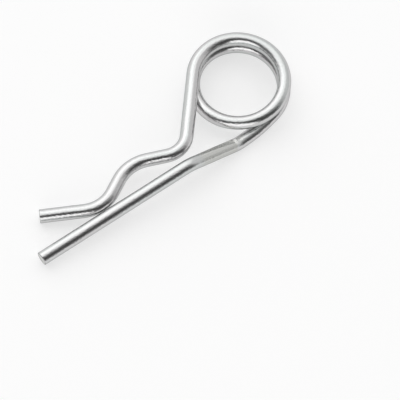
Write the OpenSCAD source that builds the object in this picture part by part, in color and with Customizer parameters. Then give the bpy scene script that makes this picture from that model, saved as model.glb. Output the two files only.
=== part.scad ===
// Hitch R clip: a retaining clip bent from one length of round spring wire.
// The straight leg goes through the cross hole of a shaft, the waved leg springs round the shaft's outside,
// and a coil of more than one and a half turns between them is both the spring and the finger ring.
//
// The clip is worked out in its own plane: the shaft's axis is Z through the origin, and the straight leg's
// axis is X, with its cut end on -X and the coil on +X. The waved leg is on +Y.
// It is then laid down on the three places that it rests on, with the shaft's centre still at the origin.

/* [Wire] */
// Diameter of the wire
wire_d = 5; // [3.5:0.1:6]

/* [Shaft] */
// Diameter of the shaft that the clip holds
shaft_d = 17.5; // [14:0.5:22]
// Gap between the shaft and the inside of the hump
seat_gap = 0.1; // [0:0.05:0.5]

/* [Straight leg] */
// From the shaft's centre to the cut end
leg_reach = 45.9; // [36:0.1:60]
// Length of the slope that takes the wire down to the coil's lower turn, along the leg
drop_run = 26.2; // [21:0.1:31]
// Bend radius at the top of the slope
drop_top_r = 8.5; // [6:0.5:14]
// Bend radius at the bottom of the slope
drop_foot_r = 8; // [6:0.5:14]
// Depth of the flat that is pressed into the slope, at its deep end near the coil
flat_depth = 0.4; // [0.2:0.05:0.8]
// Way that the flat faces, from straight up towards the waved leg
flat_facing = 40; // [0:5:90]
// From the bend at the top of the slope to where the flat starts
flat_top_gap = 2.8; // [1:0.1:8]
// From the step at the flat's deep end to the bend at the bottom of the slope
flat_foot_gap = 4.1; // [1:0.1:8]

/* [Coil] */
// Inner diameter of the coil
coil_inner_d = 28; // [22:0.5:34]
// From the shaft's centre to the coil's centre, along the leg
coil_x = 51.5; // [42:0.5:64]
// How far the coil's near side stands off the straight leg's axis
coil_offset = 2.1; // [1.5:0.1:4]
// Angle at which the wire leaves the straight leg's line for the coil
entry_angle = 11.4; // [10:0.1:16]
// Gap between one turn and the next
turn_gap = 0.25; // [0.2:0.05:1]

/* [Waved leg] */
// How much wider the hump's bend is than the shaft under it
hump_slack = 2.85; // [0.5:0.05:5]
// Slope from the hump down to the shoulder, on the coil's side
shoulder_slope = 21.8; // [17:0.1:30]
// Gap between the shoulder and the straight leg
shoulder_gap = 1.9; // [1:0.1:3]
// Bend radius of the shoulder
shoulder_r = 9; // [7:0.1:11]
// Slope from the hump down to the mouth, on the tips' side
mouth_slope = 29.8; // [24:0.1:36]
// Gap between the mouth and the straight leg
mouth_gap = 0.15; // [0.1:0.05:1]
// Bend radius of the mouth
mouth_r = 12.4; // [9:0.1:15]
// Angle between the flared tip and the straight leg
flare_angle = 27.5; // [20:0.5:35]
// Length of the flared tip past the mouth's bend
flare_l = 15.7; // [10:0.1:20]

/* [Hidden] */
$fn = 60;

wire_r = wire_d / 2;
coil_r = coil_inner_d / 2 + wire_r;     // all radii of bends are at the wire's centre line
turn_pitch = wire_d + turn_gap;
lead = atan(turn_pitch / (2 * PI * coil_r));
level_l = 3;                            // short straight in which the wire comes level after the coil
level_r = 8;

// Every bend is this much fatter than the straight wire and laps over it, so that the lengths fuse cleanly.
swell = 0.01;
lap = 0.1;

function unit(v) = v / norm(v);
function ahead(heading) = [cos(heading), sin(heading)];
function left_of(heading) = [-sin(heading), cos(heading)];
function at_height(p, z) = [p.x, p.y, z];

// A flat bend is [centre, radius, side], with side 1 for a turn to the left and -1 for one to the right.
// The wire runs from one bend to the next on the line that touches both.
function line_between(a, b) =
    let (apart = b[0] - a[0])
    atan2(apart.y, apart.x) - asin((b[2] * b[1] - a[2] * a[1]) / norm(apart));
function touch_point(bend, heading) = bend[0] - bend[2] * bend[1] * left_of(heading);

// Where the lines into and out of a flat bend would meet
function corner(bend, heading_in, heading_out) =
    let (turn = (heading_out - heading_in + 900) % 360 - 180)
    bend[0] - bend[2] * bend[1] / cos(turn / 2) * left_of(heading_in + turn / 2);

// How far along the leg a bend of radius r and centre height y lies from the hump, down a run of that slope
function run_out(r, y, slope) =
    let (
        both = hump_r + r,
        run_l = (both * cos(slope) - (y + hump_slack)) / sin(slope)
    )
    both * sin(slope) + run_l * cos(slope);

// The flat bends of the wire
coil = [[coil_x, coil_offset + coil_r], coil_r, 1];
hump_r = shaft_d / 2 + seat_gap + wire_r + hump_slack;
hump = [[0, -hump_slack], hump_r, 1];
shoulder_y = wire_d + shoulder_gap + shoulder_r;
shoulder = [[run_out(shoulder_r, shoulder_y, shoulder_slope), shoulder_y], shoulder_r, -1];
mouth_y = wire_d + mouth_gap + mouth_r;
mouth = [[-run_out(mouth_r, mouth_y, mouth_slope), mouth_y], mouth_r, -1];

// Headings of the straight runs between them
exit_angle = line_between(coil, shoulder);
fall_angle = line_between(shoulder, hump);
rise_angle = line_between(hump, mouth);
tip_angle = 180 - flare_angle;

// The coil starts low, on the straight leg's side, and comes up to the legs' plane
coil_turn = (exit_angle - entry_angle + 720) % 360 + 360;
coil_top = -level_l * tan(lead);
coil_foot = coil_top - turn_pitch * coil_turn / 360;
coil_start = touch_point(coil, entry_angle);
coil_end = touch_point(coil, exit_angle);

// Corners of the wire before the coil
cut_end = [-leg_reach, 0, 0];
entry_l = coil_start.y / sin(entry_angle);
drop_foot = at_height(coil_start - entry_l * ahead(entry_angle), coil_foot - entry_l * tan(lead));
drop_top = [drop_foot.x - drop_run, 0, 0];
lead_in = [cut_end, drop_top, drop_foot, at_height(coil_start, coil_foot)];
lead_in_r = [0, drop_top_r, drop_foot_r, 0];

// Corners of the wire after the coil
tip_end = touch_point(mouth, tip_angle) + flare_l * ahead(tip_angle);
waved_leg = [
    at_height(coil_end, coil_top),
    at_height(coil_end + level_l * ahead(exit_angle), 0),
    at_height(corner(shoulder, exit_angle, fall_angle), 0),
    at_height(corner(hump, fall_angle, rise_angle), 0),
    at_height(corner(mouth, rise_angle, tip_angle), 0),
    at_height(tip_end, 0)
];
waved_leg_r = [0, level_r, shoulder_r, hump_r, mouth_r, 0];

// A bend in space at corner b, between the points a and c: direction in, direction out, turn and the length
// of straight that the bend takes up on each side
function way_in(a, b) = unit(b - a);
function turn_at(a, b, c) = acos(way_in(a, b) * way_in(b, c));
function taken(a, b, c, r) = r * tan(turn_at(a, b, c) / 2);
function taken_at(points, radii, i) =
    radii[i] == 0 ? 0 : taken(points[i - 1], points[i], points[i + 1], radii[i]);
function bend_start(a, b, c, r) = b - taken(a, b, c, r) * way_in(a, b);
function bend_side(a, b, c) =
    let (to = way_in(b, c), from = way_in(a, b)) unit(to - (to * from) * from);

module straight(from, to) {
    along = to - from;
    translate(from)
        rotate([0, acos(along.z / norm(along)), atan2(along.y, along.x)])
            cylinder(d = wire_d, h = norm(along));
}

// An arc of wire about Z, from start by turn, with a lap of the given length at each end
module arc(r, start, turn, fatter, over) {
    extra = over / r * 180 / PI;
    rotate_extrude(angle = turn + 2 * extra, start = start - extra)
        translate([r, 0])
            circle(d = wire_d + 2 * fatter);
}

module bend_in_space(a, b, c, r) {
    side = bend_side(a, b, c);
    from = way_in(a, b);
    axis = cross(from, side);
    centre = bend_start(a, b, c, r) + r * side;
    multmatrix([
        [-side.x, from.x, axis.x, centre.x],
        [-side.y, from.y, axis.y, centre.y],
        [-side.z, from.z, axis.z, centre.z],
        [0, 0, 0, 1]
    ])
        arc(r, 0, turn_at(a, b, c), swell, lap);
}

// Wire bent through a list of points, with a radius at each inner one
module bent_wire(points, radii) {
    last = len(points) - 1;
    for (i = [1 : last]) {
        along = way_in(points[i - 1], points[i]);
        straight(
            points[i - 1] + taken_at(points, radii, i - 1) * along,
            points[i] - taken_at(points, radii, i) * along
        );
    }
    for (i = [1 : last - 1])
        bend_in_space(points[i - 1], points[i], points[i + 1], radii[i]);
}

// The flat pressed into the slope goes deeper towards the coil and ends there in a step across the wire.
// Its cutter is a wedge that starts clear above the wire.
cutter_clear = 1;

module pressed_flat() {
    from = way_in(drop_top, drop_foot);
    upward = unit(cross([0, -1, 0], from));
    facing = cos(flat_facing) * upward + sin(flat_facing) * [0, 1, 0];
    across = cross(from, facing);
    start = drop_top + (taken_at(lead_in, lead_in_r, 1) + flat_top_gap) * from;
    step = drop_foot - (taken_at(lead_in, lead_in_r, 2) + flat_foot_gap) * from;
    flat_l = norm(step - start);
    multmatrix([
        [from.x, facing.x, across.x, start.x],
        [from.y, facing.y, across.y, start.y],
        [from.z, facing.z, across.z, start.z],
        [0, 0, 0, 1]
    ])
        linear_extrude(height = wire_d + 2 * cutter_clear, center = true)
            polygon([
                [-cutter_clear, wire_r + cutter_clear * flat_depth / flat_l],
                [flat_l, wire_r - flat_depth],
                [flat_l, wire_r + cutter_clear],
                [-cutter_clear, wire_r + cutter_clear]
            ]);
}

// The coil is a helix made of short arcs, each tilted so that it rises by its share.
// Every other arc is a fat one that laps over its neighbours, and the first and last are fat.
coil_arcs = 2 * round(coil_turn / 110) + 1;
arc_turn = coil_turn / coil_arcs;
arc_rise = (coil_top - coil_foot) / coil_arcs;

module helix() {
    half_rise = arc_rise / 2;
    across = coil_r * sin(arc_turn / 2);
    tilt = atan(half_rise / across);
    half_turn = atan2(norm([across, half_rise]), coil_r * cos(arc_turn / 2));
    tilted_r = norm([coil_r, half_rise]);
    for (i = [0 : coil_arcs - 1]) {
        fat = i % 2 == 0;
        translate(at_height(coil[0], coil_foot + (i + 0.5) * arc_rise))
            rotate(entry_angle - 90 + (i + 0.5) * arc_turn)
                rotate([tilt, 0, 0])
                    arc(tilted_r, -half_turn, 2 * half_turn, fat ? swell : 0, fat ? lap : 0);
    }
}

// The clip lies on the flared tip, on the bend at the foot of the slope and on the far side of the coil's
// first turn. The wire is as thick at all three, so the plane through its centre line there is level.
tip_rest = at_height(tip_end, 0);
foot_half = turn_at(drop_top, drop_foot, lead_in[3]) / 2;
foot_rest = bend_start(drop_top, drop_foot, lead_in[3], drop_foot_r)
    + drop_foot_r * (1 - cos(foot_half)) * bend_side(drop_top, drop_foot, lead_in[3])
    + drop_foot_r * sin(foot_half) * way_in(drop_top, drop_foot);
first_turn = [
    for (a = [90 : 2 : 270])
        at_height(coil[0] - coil_r * left_of(entry_angle + a), coil_foot + turn_pitch * a / 360)
];
rest_line = unit(foot_rest - tip_rest);
rest_across = unit(cross([0, 0, 1], rest_line));
rest_up = cross(rest_line, rest_across);
rest_roll = min([
    for (p = first_turn) atan2((p - tip_rest) * rest_up, (p - tip_rest) * rest_across)
]);
up = cross(rest_line, cos(rest_roll) * rest_across + sin(rest_roll) * rest_up);
forward = unit([1, 0, 0] - up.x * up);
sideways = cross(up, forward);

module lay_down() {
    multmatrix([
        [forward.x, forward.y, forward.z, 0],
        [sideways.x, sideways.y, sideways.z, 0],
        [up.x, up.y, up.z, 0],
        [0, 0, 0, 1]
    ])
        children();
}

module clip() {
    color("silver")
        lay_down()
            union() {
                difference() {
                    bent_wire(lead_in, lead_in_r);
                    pressed_flat();
                }
                helix();
                bent_wire(waved_leg, waved_leg_r);
            }
}

clip();
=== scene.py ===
# Looks of the hitch R clip: its wire, with the drawn surface, the cut ends and the pressed flat, in a studio.
import math

import bpy
import numpy as np
from mathutils import Matrix, Vector


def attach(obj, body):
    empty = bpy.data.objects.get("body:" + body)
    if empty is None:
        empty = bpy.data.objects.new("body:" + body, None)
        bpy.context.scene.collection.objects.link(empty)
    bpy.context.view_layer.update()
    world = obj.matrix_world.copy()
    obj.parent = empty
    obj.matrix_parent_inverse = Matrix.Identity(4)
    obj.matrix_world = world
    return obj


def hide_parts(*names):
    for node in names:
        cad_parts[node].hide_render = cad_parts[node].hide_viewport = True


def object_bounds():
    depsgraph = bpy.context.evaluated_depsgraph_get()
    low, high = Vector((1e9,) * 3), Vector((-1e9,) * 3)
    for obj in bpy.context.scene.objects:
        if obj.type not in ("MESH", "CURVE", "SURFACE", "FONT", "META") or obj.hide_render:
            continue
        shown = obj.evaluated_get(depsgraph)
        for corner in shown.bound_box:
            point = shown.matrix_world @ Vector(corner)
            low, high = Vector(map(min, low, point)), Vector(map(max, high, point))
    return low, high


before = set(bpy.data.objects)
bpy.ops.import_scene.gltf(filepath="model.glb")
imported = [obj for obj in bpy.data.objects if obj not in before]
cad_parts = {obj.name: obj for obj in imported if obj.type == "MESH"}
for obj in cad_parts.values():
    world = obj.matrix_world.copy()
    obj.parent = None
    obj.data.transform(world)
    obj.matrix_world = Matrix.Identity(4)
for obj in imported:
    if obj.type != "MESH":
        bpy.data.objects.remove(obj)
cad_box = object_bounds()

MM = 0.001
TURN = 2 * math.pi

# -------------------------------------------------------- the clip's sizes, in mm, as in the CAD source
WIRE_D = 5.0
SHAFT_D = 17.5
SEAT_GAP = 0.1
LEG_REACH = 45.9
DROP_RUN = 26.2
DROP_TOP_R = 8.5
DROP_FOOT_R = 8.0             # only used here to lay the clip down as the CAD does
COIL_INNER_D = 28.0
COIL_X = 51.5
COIL_OFFSET = 2.1
ENTRY_ANGLE = 11.4
TURN_GAP = 0.25
HUMP_SLACK = 2.85
SHOULDER_SLOPE = 21.8
SHOULDER_GAP = 1.9
SHOULDER_R = 9.0
MOUTH_SLOPE = 29.8
MOUTH_GAP = 0.15
MOUTH_R = 12.4
FLARE_ANGLE = 27.5
FLARE_L = 15.7
LEVEL_L = 3.0
LEVEL_R = 8.0

WIRE_R = WIRE_D / 2
HUMP_R = SHAFT_D / 2 + SEAT_GAP + WIRE_R + HUMP_SLACK
COIL_R = COIL_INNER_D / 2 + WIRE_R
TURN_PITCH = WIRE_D + TURN_GAP
LEAD = math.atan(TURN_PITCH / (TURN * COIL_R))

# -------------------------------------------------------- the slope's foot, in mm, which isn't as in the CAD
FOOT = (38.0, 0.35, -8.6)     # where the slope levels out: nearer the leg and sharper than in the CAD
FOOT_R = 6.0
LEAD_IN_L = 8.0               # how far before the coil the wire bends gently towards it
LEAD_IN_R = 60.0              # the radius of that bend

# -------------------------------------------------------- how the wire is sampled, in mm
FINE_STEP = 0.1
STEP = 0.33
BEND_EASE = 1.2               # how gradually a bend starts and ends
BLUR_REACH = 3                # the blur is cut off at this many times that
FAR_SIDE = range(90, 271, 2)  # degrees wound since the coil's start, where the coil can touch what it lies on

# -------------------------------------------------------- the wire's centre line


def ahead(heading):
    return np.array([math.cos(heading), math.sin(heading)])


def left_of(heading):
    return np.array([-math.sin(heading), math.cos(heading)])


def at_height(p, z):
    return np.array([p[0], p[1], z])


def unit(v):
    return v / np.linalg.norm(v)


def wrapped(a):
    """The same angle between minus and plus half a turn."""
    return (a + math.pi) % TURN - math.pi


def line_between(a, b):
    """Heading of the line that touches two flat bends, each (centre, radius, side)."""
    apart = b[0] - a[0]
    return math.atan2(apart[1], apart[0]) - math.asin((b[2] * b[1] - a[2] * a[1]) / np.linalg.norm(apart))


def touch_point(bend, heading):
    """Where a line of that heading touches a flat bend."""
    return bend[0] - bend[2] * bend[1] * left_of(heading)


def corner(bend, heading_in, heading_out):
    """Where the lines into and out of a flat bend would meet."""
    half = wrapped(heading_out - heading_in) / 2
    return bend[0] - bend[2] * bend[1] / math.cos(half) * left_of(heading_in + half)


def run_out(r, y, slope):
    """How far a bend of radius r and centre height y is from the hump, along the leg, down such a slope."""
    slope = math.radians(slope)
    run_l = ((HUMP_R + r) * math.cos(slope) - (y + HUMP_SLACK)) / math.sin(slope)
    return (HUMP_R + r) * math.sin(slope) + run_l * math.cos(slope)


def bent_line(points, radii, step):
    """Points along the lines through the corners, with each inner corner rounded to its radius."""
    out, start = [], points[0]
    for i in range(1, len(points)):
        if i == len(points) - 1:
            end = points[i]
        else:
            way_in, way_out = unit(points[i] - points[i - 1]), unit(points[i + 1] - points[i])
            turn = math.acos(np.clip(way_in @ way_out, -1, 1))
            taken = radii[i] * math.tan(turn / 2)
            end = points[i] - taken * way_in
        n = max(1, round(np.linalg.norm(end - start) / step))
        out += [start + (end - start) * k / n for k in range(n)]
        start = end
        if i < len(points) - 1:
            side = unit(way_out - (way_out @ way_in) * way_in)
            centre = end + radii[i] * side
            n = max(2, round(turn * radii[i] / step))
            for k in range(n):
                a = turn * k / n
                out.append(centre - radii[i] * math.cos(a) * side + radii[i] * math.sin(a) * way_in)
            start = points[i] + taken * way_out
    out.append(points[-1])
    return out


def centre_line(step):
    """The wire's centre line in the clip's own plane, and the matrix that lays the clip down."""
    entry = math.radians(ENTRY_ANGLE)
    coil = (np.array([COIL_X, COIL_OFFSET + COIL_R]), COIL_R, 1)
    shoulder_y = WIRE_D + SHOULDER_GAP + SHOULDER_R
    mouth_y = WIRE_D + MOUTH_GAP + MOUTH_R
    shoulder = (np.array([run_out(SHOULDER_R, shoulder_y, SHOULDER_SLOPE), shoulder_y]), SHOULDER_R, -1)
    hump = (np.array([0.0, -HUMP_SLACK]), HUMP_R, 1)
    mouth = (np.array([-run_out(MOUTH_R, mouth_y, MOUTH_SLOPE), mouth_y]), MOUTH_R, -1)
    exit_angle = line_between(coil, shoulder)
    fall_angle = line_between(shoulder, hump)
    rise_angle = line_between(hump, mouth)
    tip_angle = math.pi - math.radians(FLARE_ANGLE)

    coil_turn = (exit_angle - entry) % TURN + TURN
    coil_top = -LEVEL_L * math.tan(LEAD)
    coil_foot = coil_top - TURN_PITCH * coil_turn / TURN
    coil_start = touch_point(coil, entry)
    coil_end = touch_point(coil, exit_angle)
    entry_l = coil_start[1] / math.sin(entry)
    drop_foot = at_height(coil_start - entry_l * ahead(entry), coil_foot - entry_l * math.tan(LEAD))
    drop_top = np.array([drop_foot[0] - DROP_RUN, 0, 0])
    lead_end = at_height(coil_start, coil_foot)
    lead_corner = lead_end - LEAD_IN_L * unit(lead_end - drop_foot)
    lead_in = [np.array([-LEG_REACH, 0, 0]), drop_top, np.array(FOOT), lead_corner, lead_end]
    tip = at_height(touch_point(mouth, tip_angle) + FLARE_L * ahead(tip_angle), 0)
    waved = [
        at_height(coil_end, coil_top),
        at_height(coil_end + LEVEL_L * ahead(exit_angle), 0),
        at_height(corner(shoulder, exit_angle, fall_angle), 0),
        at_height(corner(hump, fall_angle, rise_angle), 0),
        at_height(corner(mouth, rise_angle, tip_angle), 0),
        tip,
    ]

    def on_coil(turned):
        return at_height(coil[0] - COIL_R * left_of(entry + turned), coil_foot + TURN_PITCH * turned / TURN)

    n = round(coil_turn * COIL_R / step)
    first = bent_line(lead_in, [0, DROP_TOP_R, FOOT_R, LEAD_IN_R, 0], step)
    last = bent_line(waved, [0, LEVEL_R, SHOULDER_R, HUMP_R, MOUTH_R, 0], step)
    line = np.array(first[:-1] + [on_coil(coil_turn * k / n) for k in range(n)] + last)

    # The plane that it rests on, as in the CAD: through the flared tip, the CAD's bend at the slope's foot
    # and the coil's far side
    way_in, way_out = unit(drop_foot - drop_top), unit(lead_end - drop_foot)
    half = math.acos(way_in @ way_out) / 2
    side = unit(way_out - (way_out @ way_in) * way_in)
    bend_middle = drop_foot - DROP_FOOT_R * math.tan(half) * way_in
    bend_middle = bend_middle + DROP_FOOT_R * ((1 - math.cos(half)) * side + math.sin(half) * way_in)
    along = unit(bend_middle - tip)
    across = unit(np.cross([0, 0, 1], along))
    over = np.cross(along, across)
    far = [on_coil(math.radians(a)) - tip for a in FAR_SIDE]
    roll = min(math.atan2(p @ over, p @ across) for p in far)
    up = np.cross(along, math.cos(roll) * across + math.sin(roll) * over)
    forward = unit(np.array([1, 0, 0]) - up[0] * up)
    return line, np.array([forward, np.cross(up, forward), up])


def along_wire(line):
    """Distance of each point from the first, along the line."""
    return np.concatenate([[0], np.cumsum(np.linalg.norm(np.diff(line, axis=0), axis=1))])


def evenly(line, step):
    s = along_wire(line)
    n = round(s[-1] / step)
    t = np.linspace(0, s[-1], n + 1)
    return np.stack([np.interp(t, s, line[:, k]) for k in range(3)], axis=1)


def eased(line, step, reach):
    """A bend in real wire starts and ends gradually: a blur along the wire that keeps the shape's place."""
    n = int(BLUR_REACH * reach / step)
    k = np.exp(-0.5 * (np.arange(-n, n + 1) * step / reach) ** 2)
    k /= k.sum()

    def blur(p):
        head = p[0] + (p[1] - p[0]) * np.arange(-n, 0)[:, None]
        tail = p[-1] + (p[-1] - p[-2]) * np.arange(1, n + 1)[:, None]
        q = np.concatenate([head, p, tail])
        return np.stack([np.convolve(q[:, i], k, mode="valid") for i in range(3)], axis=1)

    once = blur(line)
    return 2 * once - blur(once)


line, laid_down = centre_line(FINE_STEP)
line = eased(evenly(line, STEP), STEP, BEND_EASE) @ laid_down.T
s_of = along_wire(line)
total = s_of[-1]
tangent = np.gradient(line, axis=0)
tangent /= np.linalg.norm(tangent, axis=1)[:, None]
right = np.zeros_like(line)
side = np.array([0.0, 0.0, 1.0])
for i, along in enumerate(tangent):
    side = unit(side - (side @ along) * along)
    right[i] = side
over = np.cross(tangent, right)
legs_normal = laid_down @ np.array([0.0, 0.0, 1.0])
top_angle = np.unwrap(np.arctan2(over @ legs_normal, right @ legs_normal))     # where the legs' plane faces

# -------------------------------------------------------- the wire's surface, in mm
THINNER = 0.03                     # the visual wire's radius is this much less, to keep its ripple inside
END_GAP = 0.02                     # and its cut faces lie this far inside the CAD's
RIPPLES = [                        # height, length of a radian along the wire, waves round it, phase
    (0.007, 3.1, 2, 0.0),
    (0.005, 1.37, 3, 1.0),
]
ROLL = 0.30                        # rounding of the cut ends' rims
FLAT_START, FLAT_END = 66.6, 83.2  # the flat pressed into the slope, along the wire: it deepens to its end
FLAT_DEPTH = 0.42
FLAT_FACING = math.radians(-30)
FLAT_EDGE = 0.02                   # softness of its edges
FLAT_OFF = -0.1                    # share of the depth at which the flat's plane is clear of the wire
STEP_L = 0.4                       # length of the step that ends it
LEAST_COS = 0.2                    # beyond this the flat's plane is far outside the wire
MOST_EXPONENT = 30
TEAR_RISE, TEAR_Y, TEAR_SOFT = 0.05, 0.6, 0.25     # a cut face's step between its sheared and torn parts
FACE_WAVES = [                     # height; radians per mm and phase, side to side and then up and down
    (0.02, 3.1, 1, 2.7, 0),
    (0.012, 7, 0, 8, 2),
]
WORN_START, WORN_FADE = 67.0, 2.5  # the dull surface on the flat, along the wire
WORN_PAST, WORN_STOP = 0.1, 0.15   # how far past the flat's end it stops, and how softly
# painted glints past the flat's end: a white glint on its nicked step, then a painted highlight on the wire
# past it; start and its softness, end and its softness, in mm; radians round from the top of the wire, half
# the width, squareness; strength
NICK_GLINTS = [
    # the white glint painted on the nicked step's face
    (-0.1, 0.1, 1.2, 0.15, -0.08, 0.5, 4, 1.0),
    # a painted highlight on the wire past the step
    (1.2, 0.3, 5.0, 1.2, -0.1, 0.5, 2, 0.4),
]
RING_GAP = 0.5
LAST_GAP = 0.7                     # least room before the far rim, in ring gaps
STEP_RINGS = (-2, -1, 0, 0.25, 0.5, 0.75, 1, 2, 3)     # more rings round the step, in lengths of it
FACE_RINGS = 9
ROLL_RINGS = 7
SMALLEST = 0.03                    # a cut face's innermost ring, as a share of its outermost
RIM = 0.5                          # the attribute "cut" is 0 on the wire, this on a rim and 1 on a cut face
SIDES = 96
angle = np.arange(SIDES) * TURN / SIDES


def step_up(x, middle, width):
    return 0.5 + 0.5 * np.tanh((x - middle) / width)


def between(x, start, start_width, end, end_width):
    return step_up(x, start, start_width) * (1 - step_up(x, end, end_width))


def at(table, s):
    return np.stack([np.interp(s, s_of, table[:, k]) for k in range(3)])


def pressed(s):
    """Depth of the flat: it grows towards the coil and ends in a step. Below 0 it leaves the wire round."""
    growing = max((s - FLAT_START) / (FLAT_END - FLAT_START), FLAT_OFF)
    ending = max((FLAT_END + STEP_L - s) / STEP_L * (1 - FLAT_OFF) + FLAT_OFF, FLAT_OFF)
    return FLAT_DEPTH * min(growing, ending, 1)


def radius(s, turned):
    """The wire's radius round one ring, where turned is the angle from the top of the wire."""
    r = WIRE_R - THINNER
    for height, length, waves, phase in RIPPLES:
        r = r + height * np.sin(s / length + waves * angle + phase)
    flat = (WIRE_R - THINNER - pressed(s)) / np.maximum(np.cos(turned - FLAT_FACING), LEAST_COS)
    return r - FLAT_EDGE * np.log1p(np.exp(np.clip((r - flat) / FLAT_EDGE, -MOST_EXPONENT, MOST_EXPONENT)))


def cut_relief(y, z):
    """How far a cut face stands in or out."""
    relief = TEAR_RISE * np.tanh((y - TEAR_Y) / TEAR_SOFT)
    for height, y_rate, y_phase, z_rate, z_phase in FACE_WAVES:
        relief = relief + height * np.sin(y_rate * y + y_phase) * np.sin(z_rate * z + z_phase)
    return relief


def ring(s, inset, face):
    """One ring: its points, their place on the straightened wire, how worn they are, and their painted glint
    at the nick.

    inset makes it smaller than the wire, and face, from -1 to 1, is how much of a cut face's relief it has.
    """
    turned = wrapped(angle - np.interp(s, s_of, top_angle))
    r = radius(s, turned)
    r = r - r * inset / WIRE_R
    y, z = r * np.cos(angle), r * np.sin(angle)
    middle = at(line, s)[:, None] + at(tangent, s)[:, None] * (face * cut_relief(y, z))
    points = middle + at(right, s)[:, None] * y + at(over, s)[:, None] * z
    worn = np.full(SIDES, between(s, WORN_START, WORN_FADE, FLAT_END + WORN_PAST, WORN_STOP))
    # painted glint and highlight round the nicked step
    nick_glint = np.zeros(SIDES)
    for start, start_width, end, end_width, centre, half, power, strength in NICK_GLINTS:
        there = between(s, FLAT_END + start, start_width, FLAT_END + end, end_width)
        nick_glint += strength * there * np.exp(-((turned - centre) / half) ** power)
    return points.T, np.stack([np.full(SIDES, s), y, z], axis=1), worn, nick_glint


def cut_end(s, way):
    """Rings from the middle of the cut face at s to its rim, and round the rim on to the wire."""
    out = [(s, WIRE_R - f * (WIRE_R - ROLL), way) for f in np.linspace(SMALLEST, 1.0, FACE_RINGS)]
    for a in np.linspace(0, math.pi / 2, ROLL_RINGS)[1:]:
        out.append((s + way * ROLL * (1 - math.cos(a)), ROLL * (1 - math.sin(a)), way * max(0.0, 1 - a)))
    return out


def quads_after(i):
    """The faces between ring i and the next."""
    here = np.arange(SIDES)
    beside = (here + 1) % SIDES
    near, far = i * SIDES, (i + 1) * SIDES
    return np.stack([near + here, near + beside, far + beside, far + here], axis=1)


places = np.arange(END_GAP + ROLL + RING_GAP, total - ROLL - RING_GAP * LAST_GAP, RING_GAP)
places = np.sort(np.concatenate([places, FLAT_END + STEP_L * np.array(STEP_RINGS)]))
rings = cut_end(END_GAP, 1.0) + [(s, 0.0, 0.0) for s in places] + cut_end(total - END_GAP, -1.0)[::-1]
points, lays, worns, nick_glints = (np.concatenate(table) for table in zip(*(ring(*r) for r in rings)))
cuts = np.repeat([1.0 if abs(face) == 1.0 else RIM if face else 0.0 for _, _, face in rings], SIDES)
quads = np.concatenate([quads_after(i) for i in range(len(rings) - 1)])
caps = [list(range(SIDES))[::-1], [(len(rings) - 1) * SIDES + k for k in range(SIDES)]]
mesh = bpy.data.meshes.new("wire")
mesh.from_pydata((points * MM).tolist(), [], quads.tolist() + caps)
mesh.polygons.foreach_set("use_smooth", [True] * len(mesh.polygons))
lay = mesh.attributes.new("lay", "FLOAT_VECTOR", "POINT")
lay.data.foreach_set("vector", lays.astype(np.float32).ravel())
for name, data in (("cut", cuts), ("worn", worns), ("nick_glint", nick_glints)):
    mesh.attributes.new(name, "FLOAT", "POINT").data.foreach_set("value", data.astype(np.float32))
mesh.update()
wire = bpy.data.objects.new("wire", mesh)
bpy.context.scene.collection.objects.link(wire)

# -------------------------------------------------------- nodes
# nodes and links are those of the material, or the world, that is being made


def material(name):
    m = bpy.data.materials.new(name)
    m.use_nodes = True
    m.node_tree.nodes.clear()
    return m, m.node_tree.nodes, m.node_tree.links


def feed(socket, x):
    """Link x to the socket if it is a node's output, or else set it as the socket's own value."""
    if isinstance(x, bpy.types.NodeSocket):
        links.new(x, socket)
    else:
        socket.default_value = x


def attribute(name, out_name):
    n = nodes.new("ShaderNodeAttribute")
    n.attribute_name = name
    return n.outputs[out_name]


def noise(per_mm, detail, rough):
    """Noise on the straightened wire."""
    scaled = nodes.new("ShaderNodeVectorMath")
    scaled.operation = "MULTIPLY"
    feed(scaled.inputs[0], laid)
    feed(scaled.inputs[1], per_mm)
    n = nodes.new("ShaderNodeTexNoise")
    feed(n.inputs["Vector"], scaled.outputs[0])
    feed(n.inputs["Scale"], 1.0)
    feed(n.inputs["Detail"], detail)
    feed(n.inputs["Roughness"], rough)
    return n.outputs["Fac"]


def ranged(value, before, after):
    """The value with the range before spread over the range after, and clamped to it."""
    n = nodes.new("ShaderNodeMapRange")
    feed(n.inputs["Value"], value)
    for name, x in zip(("From Min", "From Max", "To Min", "To Max"), (*before, *after)):
        feed(n.inputs[name], x)
    return n.outputs[0]


def math_node(operation, *values):
    n = nodes.new("ShaderNodeMath")
    n.operation = operation
    for i, x in enumerate(values):
        feed(n.inputs[i], x)
    return n.outputs[0]


def mixed(fac, a, b):
    """Colour a where fac is 0 and colour b where it is 1."""
    n = nodes.new("ShaderNodeMix")
    n.data_type = "RGBA"
    feed(n.inputs["Factor"], fac)
    for name, x in (("A", a), ("B", b)):
        socket = [q for q in n.inputs if q.name == name and q.type == "RGBA"][0]
        feed(socket, (*x, 1) if isinstance(x, tuple) else x)
    return [q for q in n.outputs if q.type == "RGBA"][0]


def blended(fac, a, b):
    """Number a where fac is 0 and number b where it is 1."""
    n = nodes.new("ShaderNodeMix")
    feed(n.inputs["Factor"], fac)
    feed(n.inputs["A"], a)
    feed(n.inputs["B"], b)
    return n.outputs["Result"]


# -------------------------------------------------------- the wire's material
# noises: rates per mm along the wire and, twice, across it; octaves; roughness
LINES = ((0.03, 5.0, 5.0), 3.0, 0.6)
BANDS = ((0.015, 1.3, 1.3), 2.0, 0.5)
BROAD = ((0.02, 0.4, 0.4), 2.0, 0.5)
MOTTLE = ((0.45, 0.6, 0.6), 4.0, 0.6)
FINE = ((1.5, 3.0, 3.0), 3.0, 0.6)
GRAIN = ((1.1, 2.2, 2.2), 2.0, 0.5)
NOISE_MIDDLE = 0.5
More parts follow.
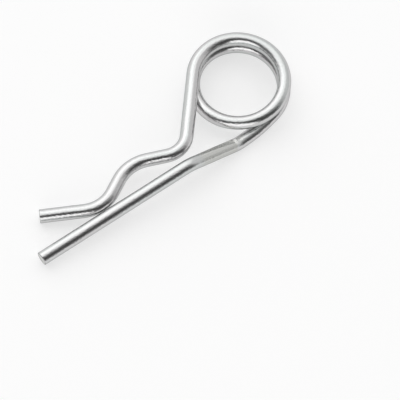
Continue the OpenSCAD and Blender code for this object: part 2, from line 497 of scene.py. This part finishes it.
# ranges of a noise that are spread over a whole range: the narrower, the harder its edges
GENTLE, PLAIN, FIRM, HARD = (0.3, 0.7), (0.35, 0.65), (0.38, 0.62), (0.4, 0.6)
ZINC_COOL = (0.60, 0.615, 0.61)
ZINC_WARM = (0.635, 0.62, 0.625)
ZINC_LINE = (0.51, 0.525, 0.52)
LINE_SHARE = 0.35
WORN_DARK = (0.52, 0.52, 0.495)
WORN_PALE = (0.62, 0.62, 0.595)
WORN_SHARE = 0.8
WORN_RANGE = (0.25, 0.85)
RAGGED = 0.7                       # how far the mottle moves the edge of the dull surface
# white painted on as a glint on the nicked step and as a highlight past it
NICK_GLINT_WHITE = (1.0, 1.0, 0.97)
NICK_GLINT_MOTTLE, NICK_GLINT_LEAST = (0.35, 0.5), 0.75
SHEARED_DARK = (0.76, 0.76, 0.75)
SHEARED_PALE = (0.88, 0.88, 0.87)
TORN = (0.55, 0.55, 0.54)
TORN_SHARE = 0.8
TORN_RANGE = (0.9, 0.2)            # side to side on a cut face, in mm, with the mottle added
TORN_MOTTLE = 1.5
RIM_DARK = (0.16, 0.16, 0.155)
RIM_SHARE = 0.85
GLINT = (0.6, 0.61, 0.61, 1)       # tint of the metal's reflections at a glancing angle
LINE_ROUGHNESS = (0.13, 0.20)
WORN_ROUGHNESS = (0.04, 0.12)      # added on the flat
CUT_ROUGHNESS = 0.5                # the least on a cut face
BUMP_DISTANCE = 0.00001
BUMP_STRENGTH = 1.0
FINE_DEPTH = 0.4                   # in the bump, where the drawn lines are 1 deep
GRAIN_DEPTH = 6.0

bright_zinc, nodes, links = material("bright_zinc")
bsdf = nodes.new("ShaderNodeBsdfPrincipled")
feed(nodes.new("ShaderNodeOutputMaterial").inputs["Surface"], bsdf.outputs[0])
laid = attribute("lay", "Vector")
lines = noise(*LINES)
bands = noise(*BANDS)
broad = noise(*BROAD)
mottle = noise(*MOTTLE)
fine = noise(*FINE)
grain = noise(*GRAIN)
ragged = math_node("MULTIPLY", math_node("SUBTRACT", mottle, NOISE_MIDDLE), RAGGED)
worn = ranged(math_node("ADD", attribute("worn", "Fac"), ragged), WORN_RANGE, (0, 1))
# where the glint and highlight are painted on, broken up by the mottle
nick_glint = math_node("MULTIPLY", attribute("nick_glint", "Fac"), ranged(mottle, NICK_GLINT_MOTTLE, (NICK_GLINT_LEAST, 1)))
cut = attribute("cut", "Fac")

zinc = mixed(ranged(broad, HARD, (0, 1)), ZINC_COOL, ZINC_WARM)
zinc = mixed(ranged(lines, PLAIN, (0, LINE_SHARE)), zinc, ZINC_LINE)
dull = mixed(ranged(bands, FIRM, (0, 1)), WORN_DARK, WORN_PALE)
colour = mixed(math_node("MULTIPLY", worn, WORN_SHARE), zinc, dull)
# the painted glint and highlight
colour = mixed(nick_glint, colour, NICK_GLINT_WHITE)
sheared = mixed(ranged(fine, HARD, (0, 1)), SHEARED_DARK, SHEARED_PALE)
place = nodes.new("ShaderNodeSeparateXYZ")
feed(place.inputs[0], laid)
sideways = math_node("ADD", place.outputs["Y"], math_node("MULTIPLY", mottle, TORN_MOTTLE))
sheared = mixed(ranged(sideways, TORN_RANGE, (0, TORN_SHARE)), sheared, TORN)
colour = mixed(ranged(cut, (RIM, 1), (0, 1)), colour, sheared)
off_rim = math_node("ABSOLUTE", math_node("SUBTRACT", cut, RIM))
colour = mixed(ranged(off_rim, (0, RIM), (RIM_SHARE, 0)), colour, RIM_DARK)
feed(bsdf.inputs["Base Color"], colour)

more_rough = math_node("MULTIPLY", worn, ranged(mottle, GENTLE, WORN_ROUGHNESS))
rough = math_node("ADD", ranged(lines, GENTLE, LINE_ROUGHNESS), more_rough)
rough = math_node("MAXIMUM", rough, math_node("MULTIPLY", cut, CUT_ROUGHNESS))
feed(bsdf.inputs["Roughness"], rough)
# no metal where the glint is painted, so that its white shows lit
feed(bsdf.inputs["Metallic"], ranged(nick_glint, (0, 1), (1, 0)))
feed(bsdf.inputs["Specular Tint"], GLINT)

bump = nodes.new("ShaderNodeBump")
feed(bump.inputs["Distance"], BUMP_DISTANCE)
feed(bump.inputs["Strength"], BUMP_STRENGTH)
scratches = math_node("ADD", lines, math_node("MULTIPLY", fine, math_node("ADD", FINE_DEPTH, worn)))
feed(bump.inputs["Height"], math_node("ADD", scratches, math_node("MULTIPLY", grain, GRAIN_DEPTH)))
feed(bsdf.inputs["Normal"], bump.outputs[0])
mesh.materials.append(bright_zinc)

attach(wire, "root")
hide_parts("clip")

# -------------------------------------------------------- studio
HALF_FLOOR = 4
FLOOR_GREY = (0.5, 0.5, 0.5, 1)
FLOOR_LIFT = 0.565                 # makes the floor near white to the camera and in the metal
MIDDLE = Vector((0.0126, 0.017, 0))
ROOM = 0.83
PATCHES = [                        # of the room: azimuth, elevation, inner and outer angle, level; in degrees
    (211, 8, 55, 98, 0.08),
    (167, 16, 2, 14, 0.3),
    (285, 14, 0, 44, 0.22),
    (107, 10, 0, 44, 0.78),
    (0, 50, 22, 50, 1.42),
    (224, 7, 28, 42, 1.6),
]
ABOVE_BACKDROP = (0, 90, 81, 84)   # such angles of the part of the room that is above the white backdrop
KEY_AZIMUTH, KEY_ELEVATION = 357, 45
KEY_DISTANCE = 0.9
KEY_HALF_ANGLE = 17                # degrees from the lamp's middle to its edge, as seen from the clip
KEY_LEVEL = 0.3


def direction(azimuth, elevation):
    """Azimuth from +Y towards +X, in degrees."""
    a, e = math.radians(azimuth), math.radians(elevation)
    return Vector((math.sin(a) * math.cos(e), math.cos(a) * math.cos(e), math.sin(e)))


def placed(name, data):
    o = bpy.data.objects.new(name, data)
    bpy.context.scene.collection.objects.link(o)
    return o


def seen_ray():
    """1 for what the camera sees, straight or by reflection or through glass."""
    path = nodes.new("ShaderNodeLightPath")
    seen = math_node("MAXIMUM", path.outputs["Is Camera Ray"], path.outputs["Is Glossy Ray"])
    return math_node("MAXIMUM", seen, path.outputs["Is Transmission Ray"])


def towards(azimuth, elevation, inner, outer):
    """1 within inner degrees of that direction, falling to 0 at outer degrees."""
    dot = nodes.new("ShaderNodeVectorMath")
    dot.operation = "DOT_PRODUCT"
    feed(dot.inputs[0], way)
    feed(dot.inputs[1], direction(azimuth, elevation))
    n = nodes.new("ShaderNodeMapRange")
    n.interpolation_type = "SMOOTHSTEP"
    feed(n.inputs["Value"], dot.outputs["Value"])
    feed(n.inputs["From Min"], math.cos(math.radians(outer)))
    feed(n.inputs["From Max"], math.cos(math.radians(inner)))
    return n.outputs[0]


floor_mesh = bpy.data.meshes.new("floor")
floor_corners = [(x * HALF_FLOOR, y * HALF_FLOOR, 0) for x, y in ((-1, -1), (1, -1), (1, 1), (-1, 1))]
floor_mesh.from_pydata(floor_corners, [], [(0, 1, 2, 3)])
floor = placed("floor", floor_mesh)
floor.location.z = cad_box[0].z
floor_material, nodes, links = material("floor")
diffuse = nodes.new("ShaderNodeBsdfDiffuse")
feed(diffuse.inputs["Color"], FLOOR_GREY)
lift = nodes.new("ShaderNodeEmission")
feed(lift.inputs["Strength"], math_node("MULTIPLY", seen_ray(), FLOOR_LIFT))
both = nodes.new("ShaderNodeAddShader")
feed(both.inputs[0], diffuse.outputs[0])
feed(both.inputs[1], lift.outputs[0])
feed(nodes.new("ShaderNodeOutputMaterial").inputs["Surface"], both.outputs[0])
floor_mesh.materials.append(floor_material)

world = bpy.data.worlds.new("studio")
bpy.context.scene.world = world
world.use_nodes = True
nodes, links = world.node_tree.nodes, world.node_tree.links
nodes.clear()
way = nodes.new("ShaderNodeTexCoord").outputs["Generated"]
room = ROOM
for *patch, level in PATCHES:
    room = blended(towards(*patch), room, level)
backdrop = math_node("SUBTRACT", 1.0, towards(*ABOVE_BACKDROP))
room = blended(math_node("MULTIPLY", backdrop, seen_ray()), room, 1.0)
background = nodes.new("ShaderNodeBackground")
feed(background.inputs["Color"], (1, 1, 1, 1))
feed(background.inputs["Strength"], room)
feed(nodes.new("ShaderNodeOutputWorld").inputs["Surface"], background.outputs[0])

key = bpy.data.lights.new("key", "AREA")
key.shape = "SQUARE"
key.size = 2 * KEY_DISTANCE * math.tan(math.radians(KEY_HALF_ANGLE))
key.energy = KEY_LEVEL * math.pi * key.size ** 2
key_object = placed("key", key)
back = direction(KEY_AZIMUTH, KEY_ELEVATION)
across = Vector((0, 0, 1)).cross(back).normalized()
key_object.location = MIDDLE + back * KEY_DISTANCE
key_object.rotation_mode = "QUATERNION"
key_object.rotation_quaternion = Matrix((across, back.cross(across), back)).transposed().to_quaternion()
key_object.visible_camera = False

# -------------------------------------------------------- camera, at the photo's angle
AIM = Vector((12.41, -12.48, 0))   # in mm, as the distance is
DISTANCE = 666.4
AZIMUTH, ELEVATION, TILT = 53.38, 65.23, 19.53
LENS, SENSOR = 171.0, 36.0
NEAREST, FURTHEST = 0.05, 20

camera = bpy.data.cameras.new("camera")
camera.sensor_width = SENSOR
camera.lens = LENS
camera.clip_start = NEAREST
camera.clip_end = FURTHEST
camera_object = placed("camera", camera)
forward = direction(AZIMUTH, -ELEVATION)
level_right = Vector((math.cos(math.radians(AZIMUTH)), -math.sin(math.radians(AZIMUTH)), 0))
level_up = level_right.cross(forward)
tilt = math.radians(TILT)
view_right = math.cos(tilt) * level_right + math.sin(tilt) * level_up
view_up = -math.sin(tilt) * level_right + math.cos(tilt) * level_up
stand = Matrix((view_right, view_up, -forward)).transposed().to_4x4()
stand.translation = (AIM - forward * DISTANCE) * MM
camera_object.matrix_world = stand
bpy.context.scene.camera = camera_object
bpy.context.scene.view_settings.view_transform = "Standard"
